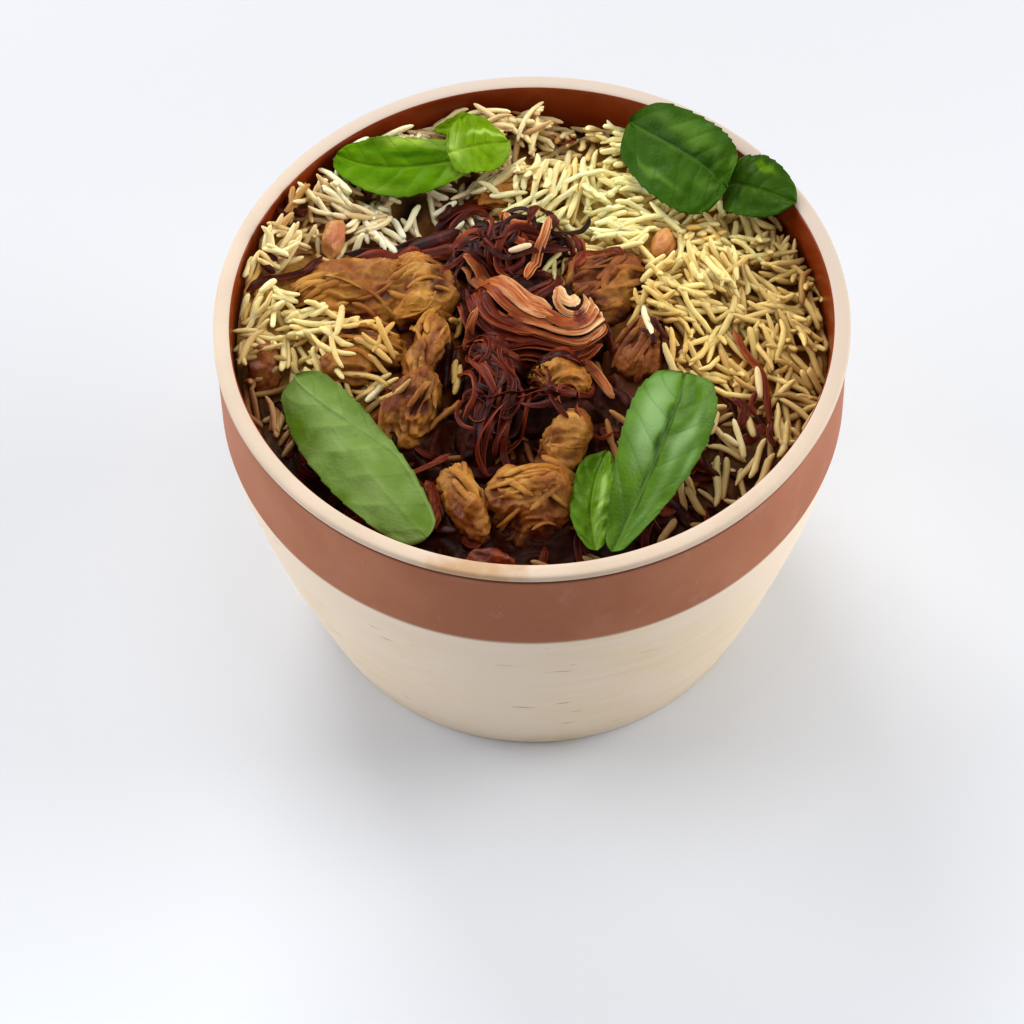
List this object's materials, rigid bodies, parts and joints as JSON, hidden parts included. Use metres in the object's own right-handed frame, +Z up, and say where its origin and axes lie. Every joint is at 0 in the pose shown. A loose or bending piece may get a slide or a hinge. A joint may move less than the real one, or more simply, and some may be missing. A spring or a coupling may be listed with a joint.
{
  "type": "bowl of chicken biryani",
  "caption": "Deep stoneware bowl with a wide coloured band, filled with chicken biryani and topped with fried onions and mint leaves.",
  "frame": {"origin": "middle of the bowl's flat underside", "axes": "+Z up along the bowl's axis, -Y towards the side the bowl is served and seen from, +X to the right"},
  "size_m": [0.16, 0.16, 0.1159],
  "materials": {
    "stoneware": "matte",
    "rice": "satin",
    "chicken": "satin",
    "tomato": "satin",
    "fried_onion": "satin",
    "mint": "satin"
  },
  "bodies": {
    "root": {"bowl": "stoneware", "chicken_left": "chicken", "chicken_left_round": "chicken", "chicken_strip": "chicken", "chicken_centre": "chicken", "chicken_right": "chicken", "chicken_right_low": "chicken", "chicken_front": "chicken", "chicken_front_sliver": "chicken", "chicken_back": "chicken", "chicken_edge": "chicken", "tomato_bit": "tomato", "orange_bit": "tomato", "onion_lump_front": "fried_onion", "fried_onion_tangle": "fried_onion", "onion_strand_left": "fried_onion", "onion_strand_right": "fried_onion", "onion_curl_right": "fried_onion", "onion_thread_left": "fried_onion", "onion_strip_front": "fried_onion", "onion_ring_right": "fried_onion", "mint_left_large": "mint", "mint_left_upper": "mint", "mint_left_small": "mint", "mint_right_large": "mint", "mint_right_tip": "mint", "mint_front_left": "mint", "mint_front_right": "mint", "mint_front_low": "mint", "rice": "rice"}
  },
  "joints": []
}
